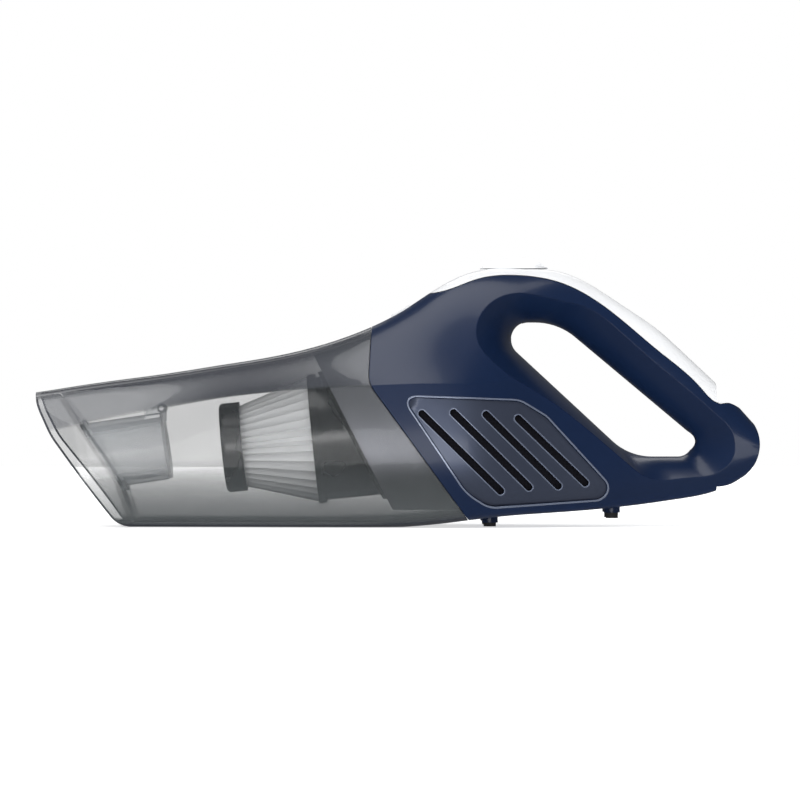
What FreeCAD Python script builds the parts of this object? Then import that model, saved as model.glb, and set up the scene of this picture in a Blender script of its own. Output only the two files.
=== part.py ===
"""Cordless handheld vacuum cleaner with a clear dust bowl, a pleated filter and a loop handle.

The nose points along -X, the handle along +X, and +Z is up. The origin is under the middle of the
machine, on the surface it stands on: the front feet and the heel of the dust bowl rest at Z = 0.
Sizes are in millimetres. Each sub-part is written to parts/NAME.step.
"""
import FreeCAD, Part
import math
import os
from FreeCAD import Vector

# ---------------------------------------------------------------- overall size
LENGTH = 385.0
WIDTH = 107.0
HEIGHT = 142.0
KX = LENGTH / 385.0
KY = WIDTH / 107.0
KZ = HEIGHT / 142.0

# ---------------------------------------------------------------- walls and clearances
HOUSING_WALL = 2.4
BOWL_WALL = 2.4
COVER_WALL = 2.2
SEAM_GAP = 0.3
SLIP = 0.5
RUNNING = 0.05
TOUCH = 0.1

# ---------------------------------------------------------------- outer form: guide lines along X
# Each list holds (x, value) points of one smooth line that the outer skin follows.
TOP_LINE = [(-200, 70.2), (-159, 76.1), (-95, 85.2), (-42, 95.8), (-20, 103.2), (-4, 111.0), (12, 120.4),
            (24, 128.0), (36, 134.4), (48, 136.6), (64, 136.9), (82, 136.2), (97, 131.2), (118, 118.8),
            (140, 102.8), (162, 83.4), (172, 72.9), (183, 61.8), (200, 44.0)]
BOTTOM_LINE = [(-200, -1.0), (-60, -1.0), (-12, -0.7), (8, 0.3), (20, 1.4), (37, 3.4), (55, 5.5), (80, 7.2), (102, 8.7),
               (124, 10.8), (140, 13.0), (162, 16.4), (172, 19.6), (183, 25.4), (200, 37.0)]
BELT_LINE = [(-200, 46.0), (-181, 51.5), (-157, 56.8), (-127, 62.6), (-86, 69.4), (-42, 73.2), (-14, 74.6),
             (20, 75.5), (50, 76.5), (75, 84.0), (105, 93.0), (140, 78.0), (162, 58.0), (183, 45.0), (200, 38.0)]
BELT_HALF = [(-200, 32.5), (-171, 36.0), (-127, 40.0), (-86, 43.5), (-42, 47.5), (-14, 50.0), (12, 51.0),
             (36, 50.0), (60, 42.0), (85, 28.0), (108, 20.5), (140, 18.0), (162, 18.0), (200, 17.0)]
FLOOR_HALF = [(-200, 20.0), (-143, 22.0), (-86, 26.0), (-20, 31.0), (30, 33.0), (60, 31.0), (85, 25.0),
              (108, 18.0), (140, 11.0), (162, 9.0), (200, 8.0)]
ROOF_HALF = [(-200, 14.0), (-143, 16.0), (-86, 17.0), (-20, 15.0), (10, 13.0), (40, 11.0), (85, 9.0),
             (140, 8.0), (200, 8.0)]
LOW_BULGE = [(-200, 37.0), (-171, 41.0), (-86, 48.5), (-20, 55.0), (20, 57.0), (42, 57.4), (60, 54.5),
             (85, 46.0), (108, 38.0), (140, 26.0), (162, 21.0), (200, 19.0)]
HIGH_BULGE = [(-200, 34.0), (-171, 39.0), (-86, 47.0), (-20, 54.0), (20, 56.0), (42, 55.0), (60, 47.0),
              (85, 32.0), (108, 22.0), (140, 18.0), (162, 18.0), (200, 17.0)]
ROOF_START = [(-200, 0.35), (20, 0.35), (60, 0.16), (90, 0.02), (110, 0.0), (200, 0.0)]
ROOF_END = [(-200, 0.35), (20, 0.36), (60, 0.5), (90, 0.6), (200, 0.6)]
STATIONS = [-200, -171, -143, -110, -75, -42, -14, 8, 28, 46, 64, 84, 105, 126, 146, 166, 183, 200]
BULGE_RISE = 0.45
ROOF_RISE = 0.5

TAIL_CENTRE = (169.5, 43.7)
TAIL_RADIUS = 22.8
TAIL_START = 183.0
TAIL_EDGE_ROUND = 6.0

# ---------------------------------------------------------------- mouth, seam and cover lines
MOUTH_EDGE = [(-192.5, 200.0), (-192.5, 66.0), (-184.0, 48.0), (-147.4, 0.0)]
MOUTH_BACK = [(-271.0, 200.0), (-149.8, 24.2), (-128.0, -36.0)]
MOUTH_KNEE_ROUND = 40.0
MOUTH_BROW_ROUND = 30.0
MOUTH_LIP_ROUND = 13.0
NOSE_CHAMFER = [(-171.0, 36.5), (-195.0, 20.5)]
SEAM_LINE = [(-9.0, 200.0), (-15.6, 76.0), (68.9, -40.0)]
SEAM_ROUND = 14.0
COVER_LINE = [(8, 124.6), (18, 123.6), (28, 125.8), (42, 131.0), (65, 133.0), (87, 129.0), (108, 117.8),
              (140, 91.7), (161, 73.3), (170.5, 65.2), (176.5, 65.6), (186, 73.0)]

# ---------------------------------------------------------------- loop handle opening
GRIP_CORNERS = [(46.5, 108.4), (85.4, 108.4), (171.0, 36.8), (123.7, 36.8)]
GRIP_RADII = [9.1, 33.0, 7.7, 31.0]
# flare of the opening towards each side: (distance, half-width at which it is reached) per edge
GRIP_FLARE = [(17.6, 28.0), (16.0, 17.5), (14.5, 21.0), (13.0, 43.0)]
GRIP_RADIUS_FLARE = [(10.5, 28.0), (9.0, 28.0), (13.0, 21.0), (9.0, 28.0)]
GRIP_LAYERS = [0, 7, 14, 21, 30, 42, 58]

# ---------------------------------------------------------------- inner parts (side view, before scaling)
SCREW_SPOTS = [(25.5, 112.5), (112.0, 101.0), (150.0, 23.6), (104.0, 19.6), (64.5, 14.5)]
BOSS_RADIUS = 4.2
SCREW_RADIUS = 1.4
SCREW_HEAD_RADIUS = 2.9
HEAD_SINK = 4.0

VENT_CORNERS = [(2.6, 68.6), (64.0, 66.4), (78.0, 58.0), (114.0, 19.0), (106.0, 14.5), (48.0, 10.9), (36.0, 18.6)]
VENT_RADII = [4.0, 12.0, 12.0, 6.0, 6.0, 12.0, 24.0]
VENT_DEPTH = 1.1
SLOTS = [((12.6, 59.8), (53.8, 19.3)), ((29.2, 60.3), (68.8, 21.2)),
         ((46.2, 59.3), (84.4, 21.7)), ((63.2, 57.2), (98.9, 23.2))]
SLOT_WIDTH = 3.7
MESH_THICKNESS = 0.6
MESH_LAP = 2.6

FOOT_FRONT = (48.7, 20.0)
FOOT_REAR = (114.0, 9.0)
STEM_RADIUS = 4.3
TIP_RADIUS = 3.3
PLUG_RADIUS = 1.8
FRONT_STEM_GAP = 2.0
REAR_TIP_HEIGHT = 4.1
REAR_STEM_HEIGHT = 7.0

MOTOR_HEIGHT = 47.0
FAN_RADIUS = 27.0
FAN_FRONT = 36.0
FAN_REAR = 50.0
INLET_RADIUS = 17.0
MOTOR_RADIUS = 17.5
MOTOR_REAR = 78.0
BELL_REAR = 85.0
SHAFT_RADIUS = 1.5
CRADLE_X = 70.5
CRADLE_THICKNESS = 5.0
IMPELLER_RADIUS = 24.0

CELL_RADIUS = 9.2
CELL_LENGTH = 65.0
CELL_SPOTS = [(13.0, 90.6), (32.5, 90.6)]

PIN_RADIUS = 1.5
LATCH_PIVOT = (-5.0, 99.0)
LATCH_HALF = 9.0
LATCH_PIN_HALF = 14.6
BUTTON_X = (-3.6, 6.4)
BUTTON_HALF = 13.6
SPRING_AT = (0.3, 11.9)
SPRING_LENGTH = 8.6
SPRING_RADIUS = 1.7
SPRING_WIRE = 0.3
SPRING_TURNS = 4

DUCT_CENTRE = (-142.6, 39.8)
DUCT_TILT = 8.5
DUCT_OUTER = 18.0
DUCT_INNER = 15.5
DUCT_REAR = 18.0
FLAP_THICKNESS = 1.6
FLAP_PIN_HALF = 9.0

FILTER_FRONT = (-93.6, 41.2)
FILTER_TILT = 5.7
CAP_RADIUS = 23.8
CAP_LENGTH = 11.0
PLEAT_FRONT_RADIUS = 19.4
PLEAT_REAR_RADIUS = 34.0
PLEAT_DEPTH = 5.5
PLEATS = 36
PLEAT_REAR = 50.0
BASE_RADIUS = 33.0
BASE_WALL = 2.4
FRAME_FRONT = [(-99.8, 198.0), (20.4, -35.7)]
FRAME_FLOOR = 8.2

SLIDER_X = (44.0, 80.0)
SLIDER_HALF = 8.5
SLIDER_BASE = 137.2
SLIDER_STEM = (57.0, 66.0)
SLIDER_TRAVEL = 5.0
JACK_RADIUS = 5.0
JACK_BORE = 2.75

B = 90.0
FAR = 400.0


# ---------------------------------------------------------------- small helpers
def spline_line(points, kx, kv):
    """A natural cubic spline through (x, value) points, straight past its ends."""
    xs = [p[0] * kx for p in points]
    vs = [p[1] * kv for p in points]
    n = len(xs)
    second = [0.0] * n
    work = [0.0] * n
    for i in range(1, n - 1):
        share = (xs[i] - xs[i - 1]) / (xs[i + 1] - xs[i - 1])
        p = share * second[i - 1] + 2.0
        second[i] = (share - 1.0) / p
        slope = (vs[i + 1] - vs[i]) / (xs[i + 1] - xs[i]) - (vs[i] - vs[i - 1]) / (xs[i] - xs[i - 1])
        work[i] = (6.0 * slope / (xs[i + 1] - xs[i - 1]) - share * work[i - 1]) / p
    for i in range(n - 2, -1, -1):
        second[i] = second[i] * second[i + 1] + work[i]

    def value(x):
        x = min(max(x, xs[0]), xs[-1])
        k = 0
        while k < n - 2 and x > xs[k + 1]:
            k += 1
        h = xs[k + 1] - xs[k]
        a = (xs[k + 1] - x) / h
        b = (x - xs[k]) / h
        curve = ((a ** 3 - a) * second[k] + (b ** 3 - b) * second[k + 1]) * h * h / 6.0
        return a * vs[k] + b * vs[k + 1] + curve

    return value


top_at = spline_line(TOP_LINE, KX, KZ)
bottom_at = spline_line(BOTTOM_LINE, KX, KZ)
belt_at = spline_line(BELT_LINE, KX, KZ)
belt_half_at = spline_line(BELT_HALF, KX, KY)
floor_half_at = spline_line(FLOOR_HALF, KX, KY)
roof_half_at = spline_line(ROOF_HALF, KX, KY)
low_bulge_at = spline_line(LOW_BULGE, KX, KY)
high_bulge_at = spline_line(HIGH_BULGE, KX, KY)
roof_start_at = spline_line(ROOF_START, KX, 1.0)
roof_end_at = spline_line(ROOF_END, KX, 1.0)


def bezier(*poles):
    curve = Part.BezierCurve()
    curve.setPoles([Vector(*p) for p in poles])
    return curve.toShape()


def skin_section(x, inset):
    """The closed outline across the machine at one station, drawn in by the inset."""
    zb = bottom_at(x) + inset
    zt = top_at(x) - inset
    zc = belt_at(x)
    floor = floor_half_at(x) - inset * 0.5
    roof = roof_half_at(x) - inset * 0.5
    belt = belt_half_at(x) - inset
    low = low_bulge_at(x) - inset
    high = high_bulge_at(x) - inset
    z_high = zb + BULGE_RISE * (zc - zb)
    z_roof = zc + ROOF_RISE * (zt - zc)
    out = belt - roof_start_at(x) * (belt - roof)
    inn = roof + roof_end_at(x) * (belt - roof)
    edges = [
        bezier((x, -floor, zb), (x, 0, zb), (x, floor, zb)),
        bezier((x, floor, zb), (x, low, zb), (x, high, z_high), (x, belt, zc)),
        bezier((x, belt, zc), (x, out, z_roof), (x, inn, zt), (x, roof, zt)),
        bezier((x, roof, zt), (x, 0, zt), (x, -roof, zt)),
        bezier((x, -roof, zt), (x, -inn, zt), (x, -out, z_roof), (x, -belt, zc)),
        bezier((x, -belt, zc), (x, -high, z_high), (x, -low, zb), (x, -floor, zb)),
    ]
    return Part.Wire(edges)


def flat(x, z, y=-B):
    return Vector(x, y, z)


def polygon(points, y=-B):
    pts = [flat(px, pz, y) for px, pz in points]
    return [Part.makeLine(pts[i], pts[(i + 1) % len(pts)]) for i in range(len(pts))]


def rounded_polygon(corners, radii, y):
    """Edges of a closed polygon in the plane Y = y with an arc of the given radius at each corner."""
    count = len(corners)
    starts, ends, mids = [], [], []
    for i in range(count):
        prev = Vector(corners[i - 1][0], 0, corners[i - 1][1])
        here = Vector(corners[i][0], 0, corners[i][1])
        nxt = Vector(corners[(i + 1) % count][0], 0, corners[(i + 1) % count][1])
        to_prev = (prev - here).normalize()
        to_next = (nxt - here).normalize()
        half = math.acos(max(-1.0, min(1.0, to_prev.dot(to_next)))) / 2.0
        reach = radii[i] / math.tan(half)
        centre = here + (to_prev + to_next).normalize() * (radii[i] / math.sin(half))
        toward = (here - centre).normalize()
        starts.append(here + to_prev * reach)
        ends.append(here + to_next * reach)
        mids.append(centre + toward * radii[i])
    lift = Vector(0, y, 0)
    edges = []
    for i in range(count):
        edges.append(Part.Arc(starts[i] + lift, mids[i] + lift, ends[i] + lift).toShape())
        edges.append(Part.makeLine(ends[i] + lift, starts[(i + 1) % count] + lift))
    return edges


def shifted_polygon(corners, distances):
    """Moves each edge of a convex polygon outward; edge i runs from corner i to corner i + 1."""
    count = len(corners)
    middle_x = sum(c[0] for c in corners) / count
    middle_z = sum(c[1] for c in corners) / count
    lines = []
    for i in range(count):
        x0, z0 = corners[i]
        x1, z1 = corners[(i + 1) % count]
        nx, nz = z1 - z0, x0 - x1
        size = math.hypot(nx, nz)
        nx, nz = nx / size, nz / size
        if (x0 - middle_x) * nx + (z0 - middle_z) * nz < 0:
            nx, nz = -nx, -nz
        lines.append((nx, nz, nx * x0 + nz * z0 + distances[i]))
    moved = []
    for i in range(count):
        a1, b1, c1 = lines[i - 1]
        a2, b2, c2 = lines[i]
        det = a1 * b2 - a2 * b1
        moved.append(((c1 * b2 - c2 * b1) / det, (a1 * c2 - a2 * c1) / det))
    return moved


def scaled(points):
    return [(px * KX, pz * KZ) for px, pz in points]


def axis_cylinder(start, direction, radius, length):
    return Part.makeCylinder(radius, length, Vector(*start), Vector(*direction))


def box(x0, x1, y0, y1, z0, z1):
    return Part.makeBox(x1 - x0, y1 - y0, z1 - z0, Vector(x0, y0, z0))


LEFT_SIDE = box(-FAR, FAR, -FAR, 0, -FAR, FAR)
RIGHT_SIDE = box(-FAR, FAR, 0, FAR, -FAR, FAR)


# ---------------------------------------------------------------- the master form and its cutters
def prism(edges):
    return Part.Face(Part.Wire(edges)).extrude(Vector(0, 2 * B, 0))


def outline_prism(corners, radii):
    return prism(rounded_polygon(corners, radii, -B))


def tail_keeper(inset):
    """Everything ahead of the tail, plus the round end of the tail."""
    cx, cz = TAIL_CENTRE[0] * KX, TAIL_CENTRE[1] * KZ
    ahead = box(-FAR, cx, -B, B, -FAR, FAR)
    disc = axis_cylinder((cx, -B, cz), (0, 1, 0), (TAIL_RADIUS - inset) * KX, 2 * B)
    return ahead.fuse(disc)


def nose_keeper(inset):
    """Cuts the two front corners of the nose off at a slant, seen from above."""
    (x1, y1), (x2, y2) = NOSE_CHAMFER
    x1, x2, y1, y2 = x1 * KX, x2 * KX, y1 * KY, y2 * KY
    slope = (y1 - y2) / (x1 - x2)
    near, far = x1 - 45.0, x1 + 220.0
    yn, yf = y1 + slope * (near - x1), y1 + slope * (far - x1)
    corners = [(near, -yn), (near, yn), (far, yf), (FAR, yf), (FAR, -yf), (far, -yf)]
    corners = shifted_polygon(corners, [0, -inset, 0, 0, 0, -inset])
    pts = [Vector(px, py, -B) for px, py in corners]
    face = Part.Face(Part.Wire([Part.makeLine(pts[i - 1], pts[i]) for i in range(len(pts))]))
    return face.extrude(Vector(0, 0, 3 * B))


def skin_solid(inset):
    return Part.makeLoft([skin_section(x * KX, inset) for x in STATIONS], True, False)


_forms = {}


def form(inset):
    """The whole outer shape of the machine, drawn in by the inset."""
    if inset not in _forms:
        body = skin_solid(inset).common(tail_keeper(inset)).common(nose_keeper(inset))
        _forms[inset] = body.common(box(-FAR, FAR, -B, B, inset, FAR))
    return _forms[inset]


def behind_seam(distance):
    """All space behind the joint between bowl and housing, moved back by the distance."""
    corners = scaled(SEAM_LINE) + [(FAR, -40.0 * KZ), (FAR, 200.0 * KZ)]
    corners = shifted_polygon(corners, [-distance, -distance, 0, 0, 0])
    return outline_prism(corners, [1, SEAM_ROUND, 1, 1, 1])


def behind_mouth_edge():
    corners = scaled(MOUTH_EDGE) + [(FAR, 0.0), (FAR, 200.0 * KZ)]
    return outline_prism(corners, [1, MOUTH_BROW_ROUND, MOUTH_KNEE_ROUND, MOUTH_LIP_ROUND, 1, 1])


def behind_mouth_back(distance):
    corners = scaled(MOUTH_BACK) + [(FAR, -36.0 * KZ), (FAR, 200.0 * KZ)]
    corners = shifted_polygon(corners, [-distance, -distance, 0, 0, 0])
    return outline_prism(corners, [1, 12, 1, 1, 1])


def above_cover_line(drop):
    """All space above the line on which the handle cover sits, lowered by the drop."""
    points = [flat(px * KX, pz * KZ - drop) for px, pz in COVER_LINE]
    curve = Part.BSplineCurve()
    curve.interpolate(points)
    first, last = points[0], points[-1]
    rim = [last, flat(FAR, last.z), flat(FAR, FAR), flat(first.x, FAR), first]
    lines = [Part.makeLine(rim[i], rim[i + 1]) for i in range(4)]
    return prism([curve.toShape()] + lines)


def grip_layer(y, grow):
    """Outline of the handle opening at one distance from the middle plane."""
    distances = [grow + d * (y / half) ** 2 for d, half in GRIP_FLARE]
    radii = [r + grow + d * (y / half) ** 2 for r, (d, half) in zip(GRIP_RADII, GRIP_RADIUS_FLARE)]
    return rounded_polygon(shifted_polygon(scaled(GRIP_CORNERS), distances), radii, y)


_grips = {}


def grip_opening(grow):
    """The flared opening of the loop handle, both sides, grown by a wall where asked."""
    if grow not in _grips:
        wires = [Part.Wire(grip_layer(y * KY, grow)) for y in GRIP_LAYERS]
        half = Part.makeLoft(wires, True, False)
        other = half.mirror(Vector(0, 0, 0), Vector(0, 1, 0))
        _grips[grow] = half.fuse(other)
    return _grips[grow]


def side_at(x, z):
    """Half-width of the outer skin at a point seen from the side."""
    hit = Part.makeLine(Vector(x, 0, z), Vector(x, B, z)).common(form(0.0)).cut(grip_opening(0.0))
    return hit.BoundBox.YMax


# ---------------------------------------------------------------- housing
def vent_outline(inset, y0, y1):
    corners = shifted_polygon(scaled(VENT_CORNERS), [-inset] * len(VENT_CORNERS))
    face = Part.Face(Part.Wire(rounded_polygon(corners, VENT_RADII, y0)))
    return face.extrude(Vector(0, y1 - y0, 0))


def slot_cutter(width):
    """The four slanted exhaust slots of one side, as stadium prisms across the whole width."""
    cutters = []
    for (x1, z1), (x2, z2) in SLOTS:
        x1, x2, z1, z2 = x1 * KX, x2 * KX, z1 * KZ, z2 * KZ
        size = math.hypot(x2 - x1, z2 - z1)
        ux, uz = (x2 - x1) / size, (z2 - z1) / size
        r = width / 2.0
        a, b = Vector(x1, -B, z1), Vector(x2, -B, z2)
        side, along = Vector(-uz * r, 0, ux * r), Vector(ux * r, 0, uz * r)
        edges = [Part.makeLine(a + side, b + side), Part.Arc(b + side, b + along, b - side).toShape(),
                 Part.makeLine(b - side, a - side), Part.Arc(a - side, a - along, a + side).toShape()]
        cutters.append(prism(edges))
    return cutters


def front_foot(side):
    return FOOT_FRONT[0] * KX, side * FOOT_FRONT[1] * KY


def rear_foot(side):
    return FOOT_REAR[0] * KX, side * FOOT_REAR[1] * KY


def foot_stems():
    """Round stems under the housing that carry the rubber tips."""
    stems = []
    for side in (-1, 1):
        x, y = front_foot(side)
        stems.append(axis_cylinder((x, y, FRONT_STEM_GAP), (0, 0, 1), STEM_RADIUS, bottom_at(x) + 3.5))
        x, y = rear_foot(side)
        stems.append(axis_cylinder((x, y, REAR_STEM_HEIGHT), (0, 0, 1), STEM_RADIUS,
                                   bottom_at(x) - REAR_STEM_HEIGHT + 3.5))
    return stems


def foot_plug_holes():
    holes = []
    for side in (-1, 1):
        x, y = front_foot(side)
        holes.append(axis_cylinder((x, y, -1), (0, 0, 1), PLUG_RADIUS + RUNNING, FRONT_STEM_GAP + 4.3))
        x, y = rear_foot(side)
        holes.append(axis_cylinder((x, y, 0), (0, 0, 1), PLUG_RADIUS + RUNNING, REAR_STEM_HEIGHT + 3.3))
    return holes


def foot(x, y, low, stem_low):
    tip = axis_cylinder((x, y, low), (0, 0, 1), TIP_RADIUS, stem_low - low - RUNNING)
    return tip.fuse(axis_cylinder((x, y, low + 0.5), (0, 0, 1), PLUG_RADIUS, stem_low - low + 2.5))


def slider_slot(grow):
    x0, x1 = SLIDER_STEM[0] * KX - SLIDER_TRAVEL - grow, SLIDER_STEM[1] * KX + grow
    return box(x0, x1, -3.0 - grow, 3.0 + grow, 100 * KZ, 145 * KZ)


def button_hole():
    return box(BUTTON_X[0] * KX - 0.35, BUTTON_X[1] * KX + 0.35, -BUTTON_HALF - 0.35, BUTTON_HALF + 0.35,
               104 * KZ, 130 * KZ)


def housing():
    """Both halves in one piece: a shell behind the seam, around the handle opening, under the cover."""
    wall = HOUSING_WALL
    outer = form(0.0).common(behind_seam(SEAM_GAP / 2)).cut(above_cover_line(0.0))
    hollow = form(wall).common(behind_seam(-5.0)).cut(above_cover_line(wall * 1.3))
    hollow = hollow.cut(grip_opening(wall * 1.2))
    outer = outer.cut(grip_opening(0.0))
    recess = vent_outline(0.0, -B, B).cut(form(VENT_DEPTH))
    outer = outer.cut(recess)
    bosses = [axis_cylinder((x * KX, -B, z * KZ), (0, 1, 0), BOSS_RADIUS, 2 * B).common(form(wall * 0.5))
              .cut(grip_opening(wall * 0.5)) for x, z in SCREW_SPOTS]
    shell = outer.cut(hollow)
    jack_land = axis_cylinder((jack_x() - 9.0, 0, jack_z()), (1, 0, 0), JACK_RADIUS + 2.4, 14)
    shell = shell.fuse(bosses + foot_stems() + [jack_land.common(form(1.0))])
    for cutter in slot_cutter(SLOT_WIDTH):
        near = box(-FAR, FAR, -B, -12, -FAR, FAR)
        far = box(-FAR, FAR, 12, B, -FAR, FAR)
        shell = shell.cut([cutter.common(near), cutter.common(far)])
    shell = shell.cut(foot_plug_holes())
    shell = shell.cut([slider_slot(0.4), button_hole()])
    shell = shell.cut([axis_cylinder((jack_x() - 40, 0, jack_z()), (1, 0, 0), JACK_RADIUS + RUNNING, 60)])
    return shell


def head_seat(x, z):
    return side_at(x, z) - HEAD_SINK


def screw_holes_left():
    return [axis_cylinder((x * KX, -10, z * KZ), (0, 1, 0), SCREW_RADIUS + RUNNING, 20) for x, z in SCREW_SPOTS]


def screw_holes_right():
    cuts = []
    for x, z in SCREW_SPOTS:
        seat = head_seat(x * KX, z * KZ)
        cuts.append(axis_cylinder((x * KX, -1, z * KZ), (0, 1, 0), SCREW_RADIUS + 0.2, B))
        cuts.append(axis_cylinder((x * KX, seat, z * KZ), (0, 1, 0), SCREW_HEAD_RADIUS + 0.3, B))
    return cuts


def housing_halves():
    whole = housing()
    left = whole.common(LEFT_SIDE).cut(screw_holes_left())
    right = whole.common(RIGHT_SIDE).cut(screw_holes_right())
    return biggest(left), biggest(right)


def biggest(shape):
    """Keeps the main solid, leaving out loose slivers under a thousandth of its volume."""
    solids = sorted(shape.Solids, key=lambda s: -s.Volume)
    kept = [s for s in solids if s.Volume > solids[0].Volume * 0.02]
    return kept[0] if len(kept) == 1 else Part.makeCompound(kept)


def screw(x, z):
    seat = head_seat(x, z)
    shank = axis_cylinder((x, -8, z), (0, 1, 0), SCREW_RADIUS, seat + 9)
    head = axis_cylinder((x, seat + TOUCH / 2, z), (0, 1, 0), SCREW_HEAD_RADIUS, 1.9)
    slot_a = box(x - 1.7, x + 1.7, seat + 1.0, seat + 3, z - 0.35, z + 0.35)
    slot_b = box(x - 0.35, x + 0.35, seat + 1.0, seat + 3, z - 1.7, z + 1.7)
    return shank.fuse(head).cut([slot_a, slot_b])


def handle_cover():
    """The pale strip on top of the handle, a shell that follows the outer form."""
    strip = form(0.0).common(above_cover_line(-SEAM_GAP))
    hollow = form(COVER_WALL).common(above_cover_line(-SEAM_GAP - 1.2))
    strip = strip.cut(hollow).cut([slider_slot(0.4)])
    for x, z, r in LENS_SPOTS:
        strip = strip.cut(lens_cutter(x, z, r + 0.05))
    return biggest(strip)


LENS_SPOTS = [(91.5, 133.2, 1.9), (99.0, 130.0, 1.9)]


def lens_cutter(x, z, radius):
    slope = math.atan2(top_at((x + 1) * KX) - top_at((x - 1) * KX), 2 * KX)
    direction = (-math.sin(slope), 0, math.cos(slope))
    top = top_at(x * KX)
    return axis_cylinder((x * KX - direction[0] * 6, 0, top - direction[2] * 6), direction, radius, 12)


def indicator_lens(spot):
    x, z, radius = spot
    return lens_cutter(x, z, radius).common(form(0.25)).cut(form(COVER_WALL + 1.0))


def vent_mesh(side):
    """Fine woven screen behind the slots, pressed against the inside of the housing wall."""
    ends = scaled([SLOTS[0][0], SLOTS[-1][0], SLOTS[-1][1], SLOTS[0][1]])
    corners = shifted_polygon(ends, [SLOT_WIDTH / 2.0 + MESH_LAP] * 4)
    face = Part.Face(Part.Wire(rounded_polygon(corners, [3.0] * 4, -B)))
    sheet = face.extrude(Vector(0, B - 14, 0)).common(form(HOUSING_WALL + SLIP))
    sheet = sheet.cut(form(HOUSING_WALL + SLIP + MESH_THICKNESS))
    bosses = [axis_cylinder((x * KX, -B, z * KZ), (0, 1, 0), BOSS_RADIUS + 0.5, 2 * B) for x, z in SCREW_SPOTS]
    mesh = biggest(sheet.cut(bosses).cut(grip_opening(HOUSING_WALL * 1.2 + 0.3)))
    return mesh if side < 0 else mesh.mirror(Vector(0, 0, 0), Vector(0, 1, 0))


# ---------------------------------------------------------------- power unit
def motor_z():
    return MOTOR_HEIGHT * KZ


def front_bulkhead():
    """Slanted plate that closes the front of the housing, with the air hole and the latch lugs."""
    plate = form(HOUSING_WALL + SLIP).common(behind_seam(4.0)).cut(behind_seam(6.6))
    plate = plate.cut(box(-FAR, FAR, -LATCH_PIN_HALF - 1, LATCH_PIN_HALF + 1, 95.0 * KZ, FAR))
    plate = plate.cut(axis_cylinder((-60, 0, motor_z()), (1, 0, 0), INLET_RADIUS - 3.0, 160))
    plate = plate.cut([axis_cylinder((x * KX, -B, z * KZ), (0, 1, 0), BOSS_RADIUS + 0.5, 2 * B)
                       for x, z in SCREW_SPOTS])
    px, pz = LATCH_PIVOT[0] * KX, LATCH_PIVOT[1] * KZ
    lugs = []
    for side in (-1, 1):
        y0, y1 = sorted((side * (LATCH_HALF + 0.6), side * LATCH_PIN_HALF))
        lug = box(px - 5.5, px + 7.4, y0, y1, 88.0 * KZ, spring_seat())
        lug = lug.fuse(axis_cylinder((px, y0, pz), (0, 1, 0), 3.0, y1 - y0))
        lugs.append(lug)
    plate = biggest(plate).fuse(lugs)
    return plate.cut(axis_cylinder((px, -B, pz), (0, 1, 0), PIN_RADIUS + RUNNING, 2 * B))


def body_seal():
    """Rubber ring between the filter frame and the bulkhead."""
    ring = form(HOUSING_WALL + 1.2).common(behind_seam(0.0)).cut(behind_seam(3.9))
    ring = ring.cut(latch_channel(BOWL_WALL + 1.2))
    return biggest(ring.cut(form(HOUSING_WALL + 5.0).cut(latch_channel(BOWL_WALL + 5.0))))


def fan_housing():
    z = motor_z()
    x0, x1 = FAN_FRONT * KX, FAN_REAR * KX
    drum = axis_cylinder((x0, 0, z), (1, 0, 0), FAN_RADIUS, x1 - x0)
    snout = axis_cylinder((-40, 0, z), (1, 0, 0), INLET_RADIUS, x0 + 41).common(behind_seam(6.7))
    hollow = axis_cylinder((x0 + 2, 0, z), (1, 0, 0), FAN_RADIUS - 2, x1 - x0 - 4)
    throat = axis_cylinder((-60, 0, z), (1, 0, 0), INLET_RADIUS - 2.2, x0 + 63)
    bore = axis_cylinder((x0, 0, z), (1, 0, 0), 6.0, x1 - x0 + 1)
    body = drum.fuse(snout).cut([hollow, throat, bore])
    vents = []
    for k in range(10):
        turn = 2 * math.pi * k / 10
        y, dz = math.cos(turn), math.sin(turn)
        vents.append(axis_cylinder((x1 - 6, y * 20, z + dz * 20), (0, y, dz), 2.6, 12))
    return body.cut(vents)


def motor_can():
    z = motor_z()
    x0, x1 = FAN_REAR * KX + TOUCH, MOTOR_REAR * KX
    can = axis_cylinder((x0, 0, z), (1, 0, 0), MOTOR_RADIUS, x1 - x0)
    can = can.cut(axis_cylinder((x0 + 2.0, 0, z), (1, 0, 0), MOTOR_RADIUS - 1.6, x1 - x0))
    return can.cut(axis_cylinder((x0 - 1, 0, z), (1, 0, 0), SHAFT_RADIUS + RUNNING, 6))


def motor_end_bell():
    z = motor_z()
    x0, x1 = MOTOR_REAR * KX + TOUCH, BELL_REAR * KX
    bell = axis_cylinder((x0, 0, z), (1, 0, 0), MOTOR_RADIUS - 0.8, x1 - x0)
    bell = bell.cut(axis_cylinder((x0 - 1, 0, z), (1, 0, 0), MOTOR_RADIUS - 3.0, x1 - x0 - 1.5))
    tabs = [box(x1 - 0.5, x1 + 3.5, y - 2.4, y + 2.4, z - 0.4, z + 0.4) for y in (-9.0, 9.0)]
    return bell.fuse(tabs).cut(axis_cylinder((x0, 0, z), (1, 0, 0), SHAFT_RADIUS + RUNNING, x1 - x0 - 1 + 2))


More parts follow.
